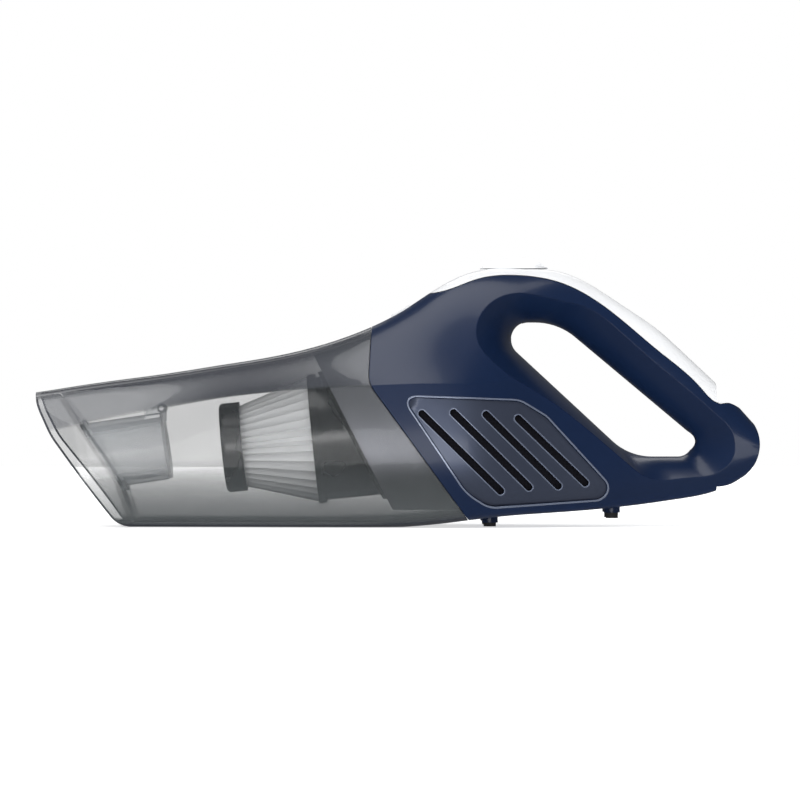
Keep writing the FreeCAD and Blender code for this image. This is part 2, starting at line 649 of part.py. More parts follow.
def motor_cradle():
    """Upright plate under the motor, standing on the floor of the housing."""
    z = motor_z()
    x0 = CRADLE_X * KX
    plate = box(x0, x0 + CRADLE_THICKNESS, -30 * KY, 30 * KY, 0, z).common(form(HOUSING_WALL + TOUCH))
    plate = plate.cut([axis_cylinder((x0 - 1, 0, z), (1, 0, 0), MOTOR_RADIUS + TOUCH, 8)])
    plate = plate.cut([axis_cylinder((x * KX, -B, zz * KZ), (0, 1, 0), BOSS_RADIUS + 0.4, 2 * B)
                       for x, zz in SCREW_SPOTS])
    return biggest(plate.cut([box(x0 - 1, x0 + 6, -B, -24 * KY, -1, B), box(x0 - 1, x0 + 6, 24 * KY, B, -1, B)]))


def impeller():
    z = motor_z()
    x0 = FAN_FRONT * KX + 3.2
    x1 = FAN_REAR * KX - 3.2
    disc = axis_cylinder((x1 - 1.4, 0, z), (1, 0, 0), IMPELLER_RADIUS, 1.4)
    hub = axis_cylinder((x0, 0, z), (1, 0, 0), 4.5, x1 - x0)
    blades = []
    for k in range(9):
        blade = box(x0, x1 - 0.5, -0.6, 0.6, 3.5, IMPELLER_RADIUS - 0.8)
        blade.rotate(Vector(0, 0, 4), Vector(1, 0, 0), 24)
        blade.rotate(Vector(0, 0, 0), Vector(1, 0, 0), 40 * k)
        blade.translate(Vector(0, 0, z))
        blades.append(blade)
    rim = axis_cylinder((x0, 0, z), (1, 0, 0), IMPELLER_RADIUS - 0.2, x1 - x0)
    wheel = disc.fuse([hub] + blades).common(rim.fuse(disc))
    return wheel.cut(axis_cylinder((x0 - 5, 0, z), (1, 0, 0), SHAFT_RADIUS + 0.01, 30))


def motor_shaft():
    return axis_cylinder((FAN_FRONT * KX + 3.4, 0, motor_z()), (1, 0, 0), SHAFT_RADIUS,
                         BELL_REAR * KX - FAN_FRONT * KX - 4.6)


def armature():
    z = motor_z()
    x0, x1 = FAN_REAR * KX + 6, MOTOR_REAR * KX - 1
    core = axis_cylinder((x0, 0, z), (1, 0, 0), 11.0, x1 - x0 - 4)
    for k in range(5):
        notch = box(x0 - 1, x1, -1.2, 1.2, 6.5, 12)
        notch.rotate(Vector(0, 0, 0), Vector(1, 0, 0), 72 * k)
        notch.translate(Vector(0, 0, z))
        core = core.cut(notch)
    core = core.fuse(axis_cylinder((x1 - 4, 0, z), (1, 0, 0), 5.0, 4))
    return core.cut(axis_cylinder((x0 - 5, 0, z), (1, 0, 0), SHAFT_RADIUS + 0.01, 60))


def battery_cell(spot):
    x, z = spot[0] * KX, spot[1] * KZ
    half = CELL_LENGTH / 2
    cell = axis_cylinder((x, -half, z), (0, 1, 0), CELL_RADIUS, CELL_LENGTH - 1.2)
    return cell.fuse(axis_cylinder((x, half - 1.3, z), (0, 1, 0), 2.8, 1.3))


def battery_holder():
    """Cradle plate with two round troughs, carried on the fan housing."""
    top = CELL_SPOTS[0][1] * KZ - 4.0
    low = motor_z() + FAN_RADIUS + TOUCH
    x0, x1 = (CELL_SPOTS[0][0] - 7.0) * KX, (CELL_SPOTS[1][0] + 9.6) * KX
    half = CELL_LENGTH / 2 - 1.0
    block = box(x0, x1, -half, half, top - 6.6, top)
    block = block.fuse(box(FAN_FRONT * KX + 1, FAN_FRONT * KX + 6, -14, 14, low, top - 3))
    return block.cut([axis_cylinder((x * KX, -B, z * KZ), (0, 1, 0), CELL_RADIUS + TOUCH, 2 * B)
                      for x, z in CELL_SPOTS])


def switch_module():
    x0, x1 = SLIDER_STEM[0] * KX - 4, SLIDER_STEM[1] * KX + 6
    top = 128.6 * KZ
    body = box(x0 - 4, x1, -6.5, 6.5, 117.0 * KZ, top)
    return body.cut(box(SLIDER_STEM[0] * KX - SLIDER_TRAVEL - 0.6, SLIDER_STEM[1] * KX + 0.6, -3.6, 3.6,
                        121.5 * KZ, 140 * KZ))


def circuit_board():
    """Control board lying along the grip, under the deck."""
    angle = math.degrees(math.atan2(39.0 * KZ, 48.0 * KX))
    board = box(-18, 18, -9.5, 9.5, -0.8, 0.8)
    chips = [box(-12, -4, -5, 4, -3.2, -0.8), box(2, 8, -6, 2, -2.6, -0.8), box(11, 15, 1, 7, -4.0, -0.8)]
    board = board.fuse(chips)
    board.rotate(Vector(0, 0, 0), Vector(0, 1, 0), angle)
    board.translate(Vector(136.5 * KX, 0, 87.6 * KZ))
    return board


def jack_x():
    return (TAIL_CENTRE[0] + TAIL_RADIUS) * KX


def jack_z():
    return (TAIL_CENTRE[1] + 1.5) * KZ


def charge_jack():
    """Round socket in the tail for the charger plug; only the inlet, no lead."""
    x1 = jack_x() - 0.9
    body = axis_cylinder((x1 - 13, 0, jack_z()), (1, 0, 0), JACK_RADIUS, 13)
    return body.cut(axis_cylinder((x1 - 9.5, 0, jack_z()), (1, 0, 0), JACK_BORE, 12))


# ---------------------------------------------------------------- latch and controls
def latch_lever():
    """Rocking lever: the button presses its rear arm and the front hook rises out of the bowl's pocket."""
    px, pz = LATCH_PIVOT[0] * KX, LATCH_PIVOT[1] * KZ
    half = LATCH_HALF
    outline = [(px - 30.0, pz - 5.2), (px - 27.4, pz - 5.2), (px - 26.6, pz - 1.8), (px + 4.0, pz - 1.8),
               (px + 9.5, pz + 1.2), (px + 9.5, pz + 3.6), (px + 6.4, pz + 3.6), (px + 3.5, pz + 3.0),
               (px - 5.0, pz + 0.8), (px - 13.2, pz + 0.8), (px - 13.8, pz + 4.2), (px - 19.5, pz + 2.2),
               (px - 30.0, pz - 2.0)]
    face = Part.Face(Part.Wire(polygon(outline, -half)))
    arm = face.extrude(Vector(0, 2 * half, 0))
    knuckle = axis_cylinder((px, -half, pz), (0, 1, 0), 3.0, 2 * half)
    arm = arm.fuse(knuckle)
    for k in range(3):
        gx = px - 15.6 - 1.7 * k
        arm = arm.cut(box(gx, gx + 0.7, -B, B, pz + 2.4 - 0.6 * k, pz + 9))
    return arm.cut(axis_cylinder((px, -B, pz), (0, 1, 0), PIN_RADIUS + RUNNING, 2 * B))


def latch_pin():
    return axis_cylinder((LATCH_PIVOT[0] * KX, -LATCH_PIN_HALF, LATCH_PIVOT[1] * KZ), (0, 1, 0), PIN_RADIUS,
                         2 * LATCH_PIN_HALF)


def button_floor():
    return LATCH_PIVOT[1] * KZ + 4.0


def release_button():
    """Thumb button in the front slope; it slides straight down on two small springs."""
    x0, x1 = BUTTON_X[0] * KX, BUTTON_X[1] * KX
    low = button_floor()
    cap = box(x0, x1, -BUTTON_HALF, BUTTON_HALF, low + 1.5, 130 * KZ).common(form(-1.1))
    flange = box(x0 + 1.0, x1, -BUTTON_HALF - 1.2, BUTTON_HALF + 1.2, low + 1.5, low + 3.3)
    foot_plate = box(x0 + 6.8, x1 - 0.4, -4.0, 4.0, low, low + 3.0)
    pockets = [axis_cylinder((SPRING_AT[0] * KX, side * SPRING_AT[1], low), (0, 0, 1), SPRING_RADIUS + 0.35,
                             spring_seat() + SPRING_LENGTH + TOUCH - low) for side in (-1, 1)]
    return cap.fuse([flange, foot_plate]).cut(pockets)


def spring_seat():
    return LATCH_PIVOT[1] * KZ + 1.6


def release_spring():
    """Two coil springs that stand on the bulkhead lugs and push the button up."""
    coils = []
    for side in (-1, 1):
        height = SPRING_LENGTH - 2 * SPRING_WIRE - TOUCH
        path = Part.makeHelix(height / SPRING_TURNS, height, SPRING_RADIUS - SPRING_WIRE)
        start = Vector(SPRING_RADIUS - SPRING_WIRE, 0, 0)
        ring = Part.Wire([Part.makeCircle(SPRING_WIRE, start, Vector(0, 1, 0))])
        coil = Part.Wire(path.Edges).makePipeShell([ring], True, True)
        coil.translate(Vector(SPRING_AT[0] * KX, side * SPRING_AT[1], spring_seat() + SPRING_WIRE + TOUCH))
        coils.append(coil)
    return Part.makeCompound(coils)


# ---------------------------------------------------------------- dust bowl
def duct_direction():
    tilt = math.radians(DUCT_TILT)
    return Vector(math.cos(tilt), 0, math.sin(tilt))


def duct_point(along):
    centre = Vector(DUCT_CENTRE[0] * KX, 0, DUCT_CENTRE[1] * KZ)
    return centre + duct_direction() * along


def duct_rod(radius, start, end):
    a = duct_point(start)
    d = duct_direction()
    return axis_cylinder((a.x, 0, a.z), (d.x, 0, d.z), radius, end - start)


def latch_channel(grow):
    """Sunken bay in the top of the bowl for the latch lever's hook."""
    px, pz = LATCH_PIVOT[0] * KX, LATCH_PIVOT[1] * KZ
    half = LATCH_HALF + 1.2 + grow
    low = pz - 6.6 - grow
    outline = [(px - 38.0 - grow, low), (px + 30.0, low), (px + 30.0, pz + 60.0), (px - 38.0 - grow, pz + 60.0)]
    face = Part.Face(Part.Wire(polygon(outline, -half)))
    return face.extrude(Vector(0, 2 * half, 0))


def dust_bowl():
    outer = form(0.0).common(behind_mouth_edge()).cut(behind_seam(-SEAM_GAP / 2))
    mouth = form(BOWL_WALL).cut(behind_mouth_back(0.0))
    room = form(BOWL_WALL).common(behind_mouth_back(BOWL_WALL))
    room = room.cut(latch_channel(BOWL_WALL))
    bowl = outer.cut([mouth, room])
    bowl = bowl.cut(latch_channel(0.0))
    px, pz = LATCH_PIVOT[0] * KX, LATCH_PIVOT[1] * KZ
    rib = box(px - 25.5, px - 24.0, -LATCH_HALF - 2, LATCH_HALF + 2, pz - 7.6, pz - 5.5)
    bowl = bowl.fuse(rib).cut(duct_rod(DUCT_OUTER + RUNNING, -60, 60))
    return biggest(bowl)


def flap_pivot():
    """Centre of the flap pin, just above the rear end of the duct."""
    d = duct_direction()
    up = Vector(-d.z, 0, d.x)
    return duct_point(DUCT_REAR + 1.6) + up * (DUCT_OUTER + 2.2)


def intake_duct():
    tube = duct_rod(DUCT_OUTER, -60, DUCT_REAR).cut(duct_rod(DUCT_INNER, -61, DUCT_REAR + 1))
    tube = tube.common(behind_mouth_back(0.0))
    flange = duct_rod(DUCT_OUTER + 2.5, -60, DUCT_REAR).common(behind_mouth_back(BOWL_WALL + TOUCH))
    flange = flange.cut(behind_mouth_back(BOWL_WALL + TOUCH + 1.6)).cut(duct_rod(DUCT_OUTER - 0.5, -61, 60))
    pivot = flap_pivot()
    lugs = []
    for side in (-1, 1):
        y0, y1 = sorted((side * 5.6, side * FLAP_PIN_HALF))
        lug = axis_cylinder((pivot.x, y0, pivot.z), (0, 1, 0), 2.8, y1 - y0)
        root = box(pivot.x - 9.0, pivot.x - 0.8, y0, y1, pivot.z - 6.5, pivot.z + 0.6)
        lug = lug.fuse(root).cut(duct_rod(DUCT_INNER + 1.0, -60, 60))
        lugs.append(lug.cut(duct_rod(DUCT_OUTER + 0.3, DUCT_REAR + 0.05, DUCT_REAR + 30)))
    tube = tube.fuse(lugs).fuse(flange)
    return tube.cut(axis_cylinder((pivot.x, -B, pivot.z), (0, 1, 0), PIN_RADIUS * 0.8 + RUNNING, 2 * B))


def flap_pin():
    p = flap_pivot()
    return axis_cylinder((p.x, -FLAP_PIN_HALF, p.z), (0, 1, 0), PIN_RADIUS * 0.8, 2 * FLAP_PIN_HALF)


def inlet_flap():
    p = flap_pivot()
    plate = duct_rod(DUCT_OUTER - 0.6, DUCT_REAR + 0.35, DUCT_REAR + 0.35 + FLAP_THICKNESS)
    neck = box(p.x - 2.2, p.x + 2.2, -5.2, 5.2, p.z - 7.0, p.z)
    neck = neck.cut(duct_rod(B, DUCT_REAR - 20, DUCT_REAR + 0.35))
    knuckle = axis_cylinder((p.x, -5.2, p.z), (0, 1, 0), 2.5, 10.4)
    knuckle = knuckle.cut(duct_rod(B, DUCT_REAR - 20, DUCT_REAR - 0.6))
    flap = plate.fuse([neck, knuckle])
    flap = flap.cut(duct_rod(DUCT_OUTER + 0.35, -60, DUCT_REAR + 0.3))
    return flap.cut(axis_cylinder((p.x, -B, p.z), (0, 1, 0), PIN_RADIUS * 0.8 + RUNNING, 2 * B))


# ---------------------------------------------------------------- filter
def filter_direction():
    tilt = math.radians(FILTER_TILT)
    return Vector(math.cos(tilt), 0, math.sin(tilt))


def filter_rod(radius, start, end):
    base = Vector(FILTER_FRONT[0] * KX, 0, FILTER_FRONT[1] * KZ) + filter_direction() * start
    d = filter_direction()
    return axis_cylinder((base.x, 0, base.z), (d.x, 0, d.z), radius, end - start)


def filter_place(shape):
    """Turns a shape drawn along +Z from the origin onto the filter axis."""
    shape.rotate(Vector(0, 0, 0), Vector(0, 1, 0), 90 - FILTER_TILT)
    shape.translate(Vector(FILTER_FRONT[0] * KX, 0, FILTER_FRONT[1] * KZ))
    return shape


def filter_cap():
    cap = Part.makeCylinder(CAP_RADIUS, CAP_LENGTH)
    cap = cap.makeFillet(2.4, [e for e in cap.Edges if e.BoundBox.ZMax < 0.1 and e.BoundBox.DiagonalLength > 10])
    for k in range(4):
        notch = Part.makeBox(3.0, 3.0, 4.0, Vector(-1.5, CAP_RADIUS - 2.2, -1))
        notch.rotate(Vector(0, 0, 0), Vector(0, 0, 1), 90 * k + 45)
        cap = cap.cut(notch)
    cap = cap.cut(Part.makeCylinder(CAP_RADIUS - 2.0, CAP_LENGTH, Vector(0, 0, 2.2)))
    return filter_place(cap)


def pleat_wire(z, inner, outer):
    points = []
    for k in range(2 * PLEATS):
        r = outer if k % 2 == 0 else inner
        turn = math.pi * k / PLEATS
        points.append(Vector(r * math.cos(turn), r * math.sin(turn), z))
    return Part.makePolygon(points + [points[0]])


def filter_pleats():
    front, rear = 4.0, PLEAT_REAR
    r1 = PLEAT_FRONT_RADIUS
    r2 = PLEAT_REAR_RADIUS
    outside = Part.makeLoft([pleat_wire(front, r1 - PLEAT_DEPTH, r1), pleat_wire(rear, r2 - PLEAT_DEPTH, r2)],
                            True, True)
    inside = Part.makeCone(r1 - PLEAT_DEPTH - 1.2, r2 - PLEAT_DEPTH - 1.2, rear - front, Vector(0, 0, front))
    return filter_place(outside.cut(inside))


def filter_core():
    """Perforated support basket inside the pleats."""
    front, rear = 4.6, PLEAT_REAR - 0.4
    r1 = PLEAT_FRONT_RADIUS - PLEAT_DEPTH - 1.7
    r2 = PLEAT_REAR_RADIUS - PLEAT_DEPTH - 1.7
    core = Part.makeCone(r1, r2, rear - front, Vector(0, 0, front))
    core = core.cut(Part.makeCone(r1 - 1.2, r2 - 1.2, rear - front + 1, Vector(0, 0, front + 1.2)))
    for k in range(8):
        slot = Part.makeBox(5.0, 60, 32, Vector(-2.5, 0, front + 7))
        slot.rotate(Vector(0, 0, 0), Vector(0, 0, 1), 45 * k)
        core = core.cut(slot)
    return filter_place(core)


def behind_frame_front(distance):
    corners = scaled(FRAME_FRONT) + [(FAR, -35.7 * KZ), (FAR, 198.0 * KZ)]
    corners = shifted_polygon(corners, [-distance, 0, 0, 0])
    return outline_prism(corners, [1, 1, 1, 1])


def frame_room(inset):
    room = form(inset).common(box(-FAR, FAR, -B, B, FRAME_FLOOR * KZ + inset - BOWL_WALL, FAR))
    return room.cut(latch_channel(inset))


def filter_frame():
    """Slanted collar that fills the rear of the bowl and carries the filter."""
    skin = BOWL_WALL + SLIP + 0.6
    collar = frame_room(skin).common(behind_frame_front(0.0)).cut(behind_seam(-0.3))
    hollow = frame_room(skin + 2.4).common(behind_frame_front(2.4)).cut(behind_seam(10.0))
    collar = collar.cut(hollow)
    return collar.cut(filter_rod(BASE_RADIUS + RUNNING, 0, 140))


def filter_base():
    """Drum that holds the wide end of the pleats and plugs into the frame."""
    drum = filter_rod(BASE_RADIUS, PLEAT_REAR + TOUCH, 140).cut(behind_frame_front(6.0))
    ring = filter_rod(PLEAT_REAR_RADIUS + 0.8, PLEAT_REAR - 1.5, PLEAT_REAR + 3.0)
    ring = ring.cut(filter_rod(PLEAT_REAR_RADIUS + TOUCH, PLEAT_REAR - 3, PLEAT_REAR + TOUCH))
    return drum.fuse(ring).cut(filter_rod(BASE_RADIUS - BASE_WALL, PLEAT_REAR - 5, 150))


def filter_seal():
    """Soft ring round the drum, against the front of the frame."""
    slab = behind_frame_front(-2.4).cut(behind_frame_front(-TOUCH))
    ring = filter_rod(BASE_RADIUS + 2.6, PLEAT_REAR - 20, 150).cut(filter_rod(BASE_RADIUS + RUNNING, 0, 160))
    return biggest(ring.common(slab))


def power_slider():
    """Thumb switch on the hump of the cover: forward is on."""
    x0, x1 = SLIDER_X[0] * KX, SLIDER_X[1] * KX
    base = SLIDER_BASE * KZ
    top = HEIGHT
    mid = (x0 + x1) / 2
    outline = [Part.makeLine(flat(x0, base), flat(x1, base)),
               Part.Arc(flat(x1, base), flat(mid + 12 * KX, top - 0.9), flat(mid, top)).toShape(),
               Part.Arc(flat(mid, top), flat(mid - 9 * KX, top - 0.8), flat(x0, base)).toShape()]
    cap = prism(outline).common(box(-FAR, FAR, -SLIDER_HALF, SLIDER_HALF, 0, FAR))
    stem = box(SLIDER_STEM[0] * KX, SLIDER_STEM[1] * KX, -3.0, 3.0, 123.0 * KZ, base + 0.8)
    return cap.fuse(stem)


# ---------------------------------------------------------------- writing the sub-parts
def save(name, shape):
    shape.exportStep("parts/" + name + ".step")


os.makedirs("parts", exist_ok=True)
left_half, right_half = housing_halves()
PIECES = {
    "housing_left": lambda: left_half,
    "housing_right": lambda: right_half,
    "handle_cover": handle_cover,
    "vent_mesh_left": lambda: vent_mesh(-1),
    "vent_mesh_right": lambda: vent_mesh(1),
    "front_bulkhead": front_bulkhead,
    "body_seal": body_seal,
    "fan_housing": fan_housing,
    "motor_can": motor_can,
    "motor_end_bell": motor_end_bell,
    "motor_cradle": motor_cradle,
    "impeller": impeller,
    "motor_shaft": motor_shaft,
    "armature": armature,
    "battery_holder": battery_holder,
    "switch_module": switch_module,
    "circuit_board": circuit_board,
    "charge_jack": charge_jack,
    "latch_lever": latch_lever,
    "latch_pin": latch_pin,
    "release_button": release_button,
    "release_spring": release_spring,
    "power_slider": power_slider,
    "dust_bowl": dust_bowl,
    "intake_duct": intake_duct,
    "flap_pin": flap_pin,
    "inlet_flap": inlet_flap,
    "filter_cap": filter_cap,
    "filter_pleats": filter_pleats,
    "filter_core": filter_core,
    "filter_frame": filter_frame,
    "filter_base": filter_base,
    "filter_seal": filter_seal,
}
for n, spot in enumerate(CELL_SPOTS):
    PIECES["battery_cell_%d" % (n + 1)] = lambda spot=spot: battery_cell(spot)
for n, spot in enumerate(LENS_SPOTS):
    PIECES["indicator_lens_%d" % (n + 1)] = lambda spot=spot: indicator_lens(spot)
for n, (sx, sz) in enumerate(SCREW_SPOTS):
    PIECES["housing_screw_%d" % (n + 1)] = lambda sx=sx, sz=sz: screw(sx * KX, sz * KZ)
for label, side in (("left", -1), ("right", 1)):
    fx, fy = front_foot(side)
    PIECES["foot_front_" + label] = lambda fx=fx, fy=fy: foot(fx, fy, 0.0, FRONT_STEM_GAP)
    rx, ry = rear_foot(side)
    PIECES["foot_rear_" + label] = lambda rx=rx, ry=ry: foot(rx, ry, REAR_TIP_HEIGHT, REAR_STEM_HEIGHT)

for name, make in PIECES.items():
    save(name, make())
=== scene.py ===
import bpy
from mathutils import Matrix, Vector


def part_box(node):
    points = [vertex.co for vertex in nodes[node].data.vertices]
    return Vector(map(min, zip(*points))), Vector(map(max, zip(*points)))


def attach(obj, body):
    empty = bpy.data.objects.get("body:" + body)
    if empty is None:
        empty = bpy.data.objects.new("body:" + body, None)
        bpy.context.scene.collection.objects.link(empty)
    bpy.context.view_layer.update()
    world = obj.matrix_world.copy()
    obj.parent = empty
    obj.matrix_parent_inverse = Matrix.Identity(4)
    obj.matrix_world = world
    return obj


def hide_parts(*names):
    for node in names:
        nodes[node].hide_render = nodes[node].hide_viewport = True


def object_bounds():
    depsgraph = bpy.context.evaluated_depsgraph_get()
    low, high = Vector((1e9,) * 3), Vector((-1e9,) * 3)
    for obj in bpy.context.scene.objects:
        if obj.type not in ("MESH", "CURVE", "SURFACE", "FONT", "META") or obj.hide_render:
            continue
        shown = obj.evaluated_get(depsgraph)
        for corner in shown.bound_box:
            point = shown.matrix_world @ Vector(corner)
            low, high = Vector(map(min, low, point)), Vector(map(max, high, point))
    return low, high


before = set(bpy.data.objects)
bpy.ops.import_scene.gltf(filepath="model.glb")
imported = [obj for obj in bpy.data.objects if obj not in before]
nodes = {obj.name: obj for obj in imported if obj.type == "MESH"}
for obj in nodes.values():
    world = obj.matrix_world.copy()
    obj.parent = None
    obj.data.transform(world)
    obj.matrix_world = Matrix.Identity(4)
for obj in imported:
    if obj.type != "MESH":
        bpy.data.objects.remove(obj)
cad_box = [list(corner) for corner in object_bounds()]

import math
import bpy
from mathutils import Vector


# Helpers for materials. Sums of sockets are written as Python expressions, and each helper adds
# the nodes it stands for.
class Socket:
    """A node socket that takes part in sums; numbers and sockets mix freely."""

    def __init__(self, tree, out):
        self.tree, self.out = tree, out

    def _maths(self, operation, *values):
        return node(self.tree, "ShaderNodeMath", {"operation": operation}, *values)

    def __add__(self, other):
        return self._maths("ADD", self, other)

    def __sub__(self, other):
        return self._maths("SUBTRACT", self, other)

    def __rsub__(self, other):
        return self._maths("SUBTRACT", other, self)

    def __mul__(self, other):
        return self._maths("MULTIPLY", self, other)

    def __truediv__(self, other):
        return self._maths("DIVIDE", self, other)

    __radd__ = __add__
    __rmul__ = __mul__


def node(tree, kind, settings, *values, out=0, **named):
    """Adds a node, sets it up, fills its sockets by order or by name and gives back one output."""
    made = tree.nodes.new(kind)
    for key, value in settings.items():
        setattr(made, key, value)
    pairs = list(zip(made.inputs, values)) + [(made.inputs[key.replace("_", " ")], value)
                                              for key, value in named.items()]
    for socket, value in pairs:
        if value is None:
            continue
        if isinstance(value, Socket):
            tree.links.new(value.out, socket)
        else:
            socket.default_value = value
    return Socket(tree, made.outputs[out])


def finish_of(name, **fixed):
    """A new material with its Principled shader; fixed values go straight on the shader's sockets."""
    material = bpy.data.materials.new(name)
    material.use_nodes = True
    shader = material.node_tree.nodes["Principled BSDF"]
    for key, value in fixed.items():
        shader.inputs[key.replace("_", " ")].default_value = value
    return material, material.node_tree, shader


def feed(tree, shader, **links):
    for key, value in links.items():
        tree.links.new(value.out, shader.inputs[key.replace("_", " ")])


def place_in(tree):
    return node(tree, "ShaderNodeTexCoord", {}, out=3)


def mixed(tree, factor, first, second):
    made = tree.nodes.new("ShaderNodeMix")
    made.data_type = "RGBA"
    for index, value in ((0, factor), (6, first), (7, second)):
        if isinstance(value, Socket):
            tree.links.new(value.out, made.inputs[index])
        else:
            made.inputs[index].default_value = value
    return Socket(tree, made.outputs[2])


def noise(tree, place, scale, detail=3.0):
    return node(tree, "ShaderNodeTexNoise", {}, Vector=place, Scale=scale, Detail=detail)


def bump(tree, height, distance, strength=1.0, under=None):
    return node(tree, "ShaderNodeBump", {}, Height=height, Distance=distance, Strength=strength, Normal=under)


def dress(material, *names):
    """Gives CAD nodes, or new pieces, their material."""
    for name in names:
        thing = nodes[name] if isinstance(name, str) else name
        thing.data.materials.clear()
        thing.data.materials.append(material)


# The studio: a pale floor the machine stands on, soft white surroundings and five soft lamps, of
# which some light only glossy surfaces and some only dull ones. The camera looks square at the
# machine's left side through a long lens.
world = bpy.data.worlds.new("studio")
bpy.context.scene.world = world
world.use_nodes = True
sky = world.node_tree.nodes["Background"]
seen = node(world.node_tree, "ShaderNodeLightPath", {})
sky_light = 0.12
world.node_tree.links.new((seen * (1.0 - sky_light) + sky_light).out, sky.inputs["Strength"])
sky.inputs["Color"].default_value = (1.0, 1.0, 1.0, 1.0)

for name, at, size, power, aim, gloss, spread in (
        ("top_lamp", (-0.16, -0.30, 1.1), (1.3, 0.6), 8.0, (0.0, 0.0, 0.05), True, True),
        ("level_lamp", (-0.25, -3.2, 0.10), (2.2, 0.62), 22.0, (0.0, 0.0, 0.06), True, False),
        ("front_fill", (-0.7, -2.6, 1.6), (2.6, 2.6), 62.0, (0.0, 0.0, 0.06), False, True),
        ("back_fill", (0.5, 2.5, 1.5), (2.4, 2.4), 55.0, (0.0, 0.0, 0.06), False, True),
        ("back_lamp", (0.2, 1.9, 1.9), (2.0, 0.7), 9.0, (0.0, 0.0, 0.06), True, False)):
    lamp = bpy.data.lights.new(name, "AREA")
    lamp.shape = "RECTANGLE"
    lamp.size, lamp.size_y = size
    lamp.energy = power
    holder = bpy.data.objects.new(name, lamp)
    bpy.context.scene.collection.objects.link(holder)
    holder.location = at
    holder.rotation_euler = (Vector(aim) - Vector(at)).to_track_quat("-Z", "Y").to_euler()
    holder.visible_camera = False
    holder.visible_glossy = gloss
    holder.visible_diffuse = spread

floor_size, floor_drop = 4.2, 0.0004
bpy.ops.object.select_all(action="DESELECT")
bpy.ops.mesh.primitive_plane_add(size=floor_size, location=(0.0, 0.0, -floor_drop))
floor = bpy.context.object
floor.name = "floor"
floor.visible_glossy = False
paper, tree, shader = finish_of("floor_paper", Roughness=1.0, Specular_IOR_Level=0.0,
                                Emission_Color=(1.0, 1.0, 1.0, 1.0), Emission_Strength=0.62)
feed(tree, shader, Base_Color=mixed(tree, noise(tree, place_in(tree), 3.0) * 0.3,
                                    (0.93, 0.93, 0.93, 1.0), (0.90, 0.90, 0.90, 1.0)))
dress(paper, floor)

lens = bpy.data.cameras.new("camera")
lens.lens = 200.0
lens.sensor_width = 36.0
camera = bpy.data.objects.new("camera", lens)
bpy.context.scene.collection.objects.link(camera)
camera.location = (0.0011, -2.378, 0.0670)
camera.rotation_euler = (math.radians(90.0), 0.0, 0.0)
bpy.context.scene.camera = camera
bpy.context.scene.view_settings.view_transform = "Standard"


# Housing: two halves of moulded ABS in deep navy gloss, screwed together from the right side.
# The skin has a faint orange peel and very slightly duller patches here and there.
navy, tree, shader = finish_of("navy_shell", Coat_Roughness=0.10, IOR=1.5, Specular_IOR_Level=0.28)
place = place_in(tree)
patches = noise(tree, place, 22.0, 4.0)
peel = noise(tree, place, 900.0, 2.0)
feed(tree, shader,
     Base_Color=mixed(tree, patches, (0.0046, 0.0125, 0.0400, 1.0), (0.0060, 0.0160, 0.0500, 1.0)),
     Roughness=patches * 0.08 + 0.25,
     Coat_Weight=patches * 0.08 + 0.10,
     Normal=bump(tree, peel, 0.00003, 0.35, node(tree, "ShaderNodeBevel", {"samples": 6}, 0.0009)))
dress(navy, "housing_left", "housing_right")


# Handle cover, thumb switch and release button: white gloss plastic parts that sit on the navy shell.
white, tree, shader = finish_of("white_plastic", Coat_Roughness=0.08)
place = place_in(tree)
patches = noise(tree, place, 30.0, 4.0)
feed(tree, shader,
     Base_Color=mixed(tree, patches, (0.78, 0.79, 0.81, 1.0), (0.84, 0.85, 0.86, 1.0)),
     Roughness=patches * 0.1 + 0.25, Coat_Weight=patches * 0.1 + 0.3,
     Normal=bump(tree, noise(tree, place, 1100.0, 2.0), 0.00002, 0.3))
dress(white, "handle_cover", "power_slider", "release_button")

# Thumb pad: the switch itself, with six shallow grooves across its middle for grip.
switch_low, switch_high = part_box("power_slider")
strips, first_strip, last_strip = 24.0, 7, 19
strip = (switch_high[0] - switch_low[0]) / strips
groove_rim, groove_depth = 0.00022, 0.0005
pad = bpy.data.objects.new("thumb_pad", nodes["power_slider"].data.copy())
bpy.context.scene.collection.objects.link(pad)
bpy.ops.object.select_all(action="DESELECT")
pad.select_set(True)
bpy.context.view_layer.objects.active = pad
bpy.ops.object.mode_set(mode="EDIT")
bpy.ops.mesh.select_all(action="SELECT")
bpy.ops.mesh.remove_doubles(threshold=0.00001)
for step in range(first_strip, last_strip + 1):
    bpy.ops.mesh.select_all(action="SELECT")
    bpy.ops.mesh.bisect(plane_co=(switch_low[0] + strip * step, 0.0, 0.0), plane_no=(1.0, 0.0, 0.0))
bpy.ops.mesh.select_mode(type="FACE")
bpy.ops.mesh.select_all(action="DESELECT")
bpy.ops.object.mode_set(mode="OBJECT")
for face in pad.data.polygons:
    spot = (face.center.x - switch_low[0]) / strip
    face.select = face.normal.z > 0.7 and first_strip < spot < last_strip and int(spot) % 2 == 1
bpy.ops.object.mode_set(mode="EDIT")
bpy.ops.mesh.inset(thickness=groove_rim)
bpy.ops.transform.translate(value=(0.0, 0.0, -groove_depth))
bpy.ops.object.mode_set(mode="OBJECT")
bpy.ops.object.shade_smooth_by_angle(angle=math.radians(35.0))
dress(white, pad)
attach(pad, "switch")
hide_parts("power_slider")

lens_white, tree, shader = finish_of("indicator_lens", IOR=1.45)
place = place_in(tree)
feed(tree, shader, Base_Color=mixed(tree, noise(tree, place, 700.0), (0.30, 0.33, 0.36, 1.0), (0.42, 0.45, 0.48, 1.0)),
     Roughness=noise(tree, place, 300.0) * 0.1 + 0.08)
dress(lens_white, "indicator_lens_1", "indicator_lens_2")
